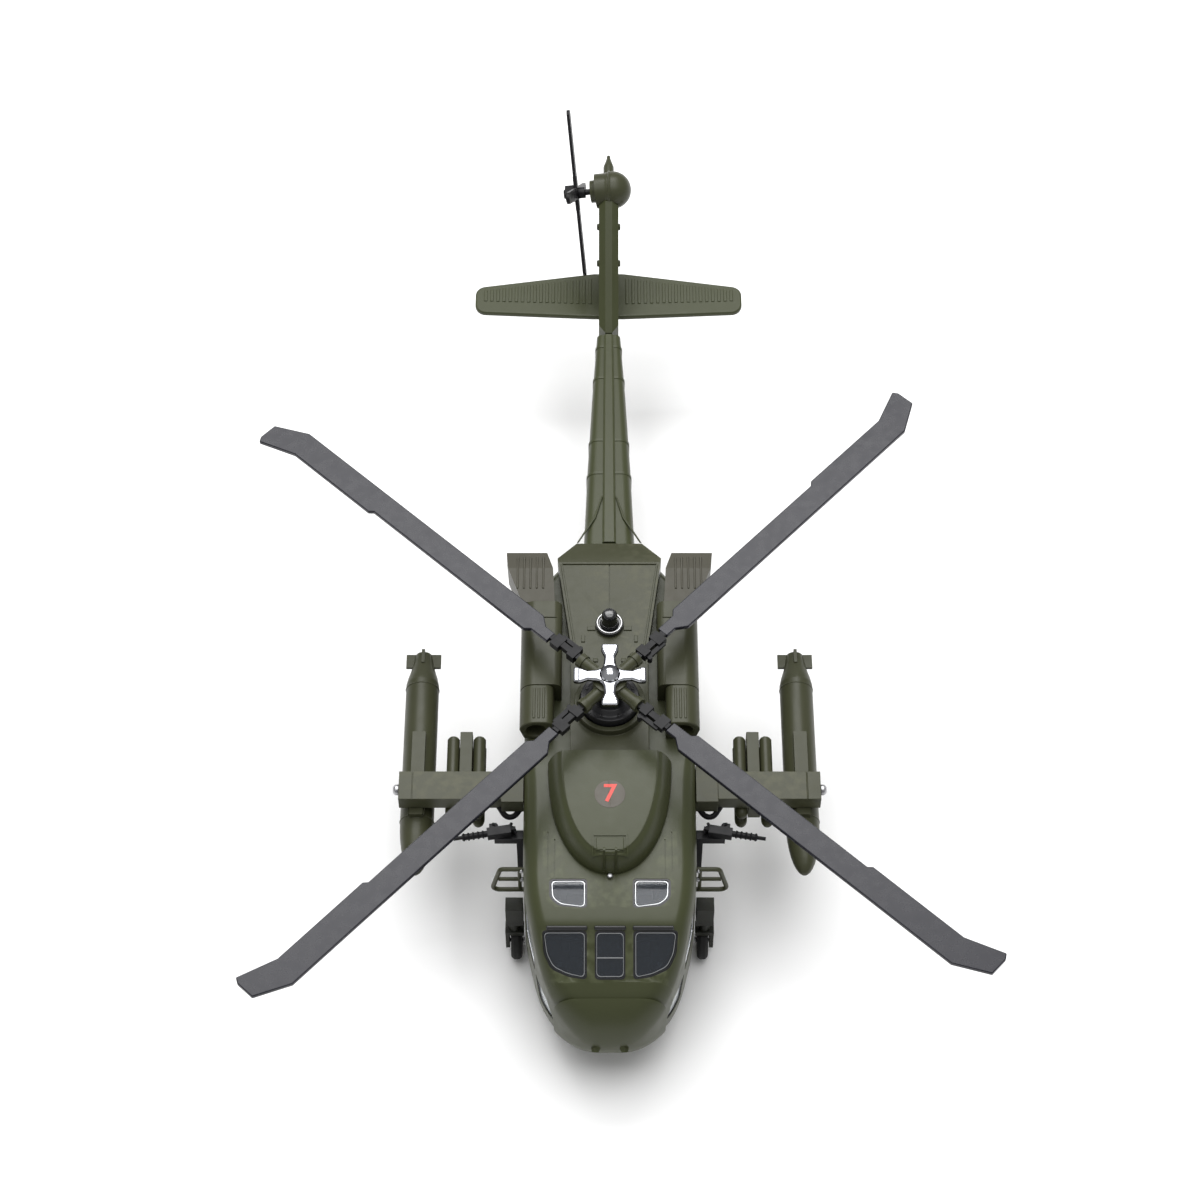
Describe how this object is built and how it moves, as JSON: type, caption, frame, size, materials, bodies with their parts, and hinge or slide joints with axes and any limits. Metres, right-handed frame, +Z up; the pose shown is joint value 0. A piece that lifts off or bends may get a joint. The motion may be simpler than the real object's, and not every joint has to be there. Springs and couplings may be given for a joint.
{
  "type": "toy helicopter",
  "caption": "Small die-cast and plastic toy transport helicopter with turning rotors, rolling wheels, swinging door guns and stores on stub wings.",
  "frame": {"origin": "on the ground under the middle of the outline of the whole toy, blades included", "axes": "+Z up, nose towards -Y, +X to the aircraft's left (port) side"},
  "size_m": [0.1742, 0.2552, 0.0721],
  "materials": {
    "olive_paint": "satin olive drab paint on die-cast zinc",
    "olive_plastic": "moulded plastic painted satin olive",
    "black_plastic": "moulded black plastic",
    "blade_plastic": "flexible near-black plastic, semi-gloss",
    "gloss_black": "gloss black plastic",
    "clear_glazing": "clear styrene, gloss",
    "chrome": "bright vacuum plating",
    "silver_ring": "silver plated plastic",
    "steel": "plain steel",
    "bush_brass": "turned brass",
    "tyre_black": "moulded black rubber"
  },
  "bodies": {
    "airframe": {"fuselage_shell": "olive_paint", "belly_pan": "olive_plastic", "nose_cap": "olive_paint", "cockpit_glazing": "clear_glazing", "cabin_glazing": "clear_glazing", "cabin_floor": "black_plastic", "instrument_panel": "black_plastic", "pilot_seats": "black_plastic", "cabin_bulkhead": "black_plastic", "body_screws": "steel", "pylon_fairing": "olive_paint", "mast_fairing": "olive_plastic", "mast_bush": "bush_brass", "swashplate": "black_plastic", "engine_deck": "olive_plastic", "nacelle_left": "olive_plastic", "nacelle_right": "olive_plastic", "intake_left": "olive_plastic", "intake_right": "olive_plastic", "exhaust_left": "olive_plastic", "exhaust_right": "olive_plastic", "jammer_base": "silver_ring", "jammer_dome": "gloss_black", "tail_boom": "olive_paint", "tail_fin": "olive_paint", "stabilator": "olive_paint", "tail_gearbox": "olive_plastic", "tail_beacon": "olive_plastic", "stub_wing_left": "olive_plastic", "stub_wing_right": "olive_plastic", "wing_tip_bolts": "steel", "tank_left": "olive_plastic", "tank_right": "olive_plastic", "missile_rack_left": "olive_plastic", "missile_rack_right": "olive_plastic", "missiles_left": "olive_plastic", "missiles_right": "olive_plastic", "step_frame_left": "olive_plastic", "step_frame_right": "olive_plastic", "gear_leg_left": "olive_plastic", "gear_leg_right": "olive_plastic", "tail_wheel_fork": "olive_plastic", "wheel_axles": "steel", "gun_mount_left": "black_plastic", "gun_mount_right": "black_plastic"},
    "main_rotor": {"rotor_mast": "steel", "rotor_hub": "olive_plastic", "blade_grips": "black_plastic", "vibration_cross": "chrome", "blade_front_right": "blade_plastic", "blade_rear_right": "blade_plastic", "blade_rear_left": "blade_plastic", "blade_front_left": "blade_plastic"},
    "tail_rotor": {"tail_rotor_hub": "black_plastic", "tail_rotor_blades": "black_plastic"},
    "wheel_left": {"wheel_left": "tyre_black"},
    "wheel_right": {"wheel_right": "tyre_black"},
    "tail_wheel": {"tail_wheel": "tyre_black"},
    "gun_left": {"gun_left": "black_plastic"},
    "gun_right": {"gun_right": "black_plastic"}
  },
  "joints": [
    {"name": "main_rotor_spin", "type": "hinge", "parent": "airframe", "child": "main_rotor", "pos_m": [0, -0.04561, 0.057], "axis": [0, 0, 1], "continuous": true},
    {"name": "tail_rotor_spin", "type": "hinge", "parent": "airframe", "child": "tail_rotor", "pos_m": [0, 0.11119, 0.057], "axis": [-0.9903, 0, -0.1392], "continuous": true},
    {"name": "wheel_left_spin", "type": "hinge", "parent": "airframe", "child": "wheel_left", "pos_m": [0.0224, -0.08561, 0.0047], "axis": [1, 0, 0], "continuous": true},
    {"name": "wheel_right_spin", "type": "hinge", "parent": "airframe", "child": "wheel_right", "pos_m": [-0.0224, -0.08561, 0.0047], "axis": [1, 0, 0], "continuous": true},
    {"name": "tail_wheel_spin", "type": "hinge", "parent": "airframe", "child": "tail_wheel", "pos_m": [0, 0.05939, 0.003], "axis": [1, 0, 0], "continuous": true},
    {"name": "gun_left_swing", "type": "hinge", "parent": "airframe", "child": "gun_left", "pos_m": [0.026, -0.07161, 0.031], "axis": [0, 0, 1], "range_deg": [-25, 10]},
    {"name": "gun_right_swing", "type": "hinge", "parent": "airframe", "child": "gun_right", "pos_m": [-0.026, -0.07161, 0.031], "axis": [0, 0, -1], "range_deg": [-25, 10]}
  ]
}
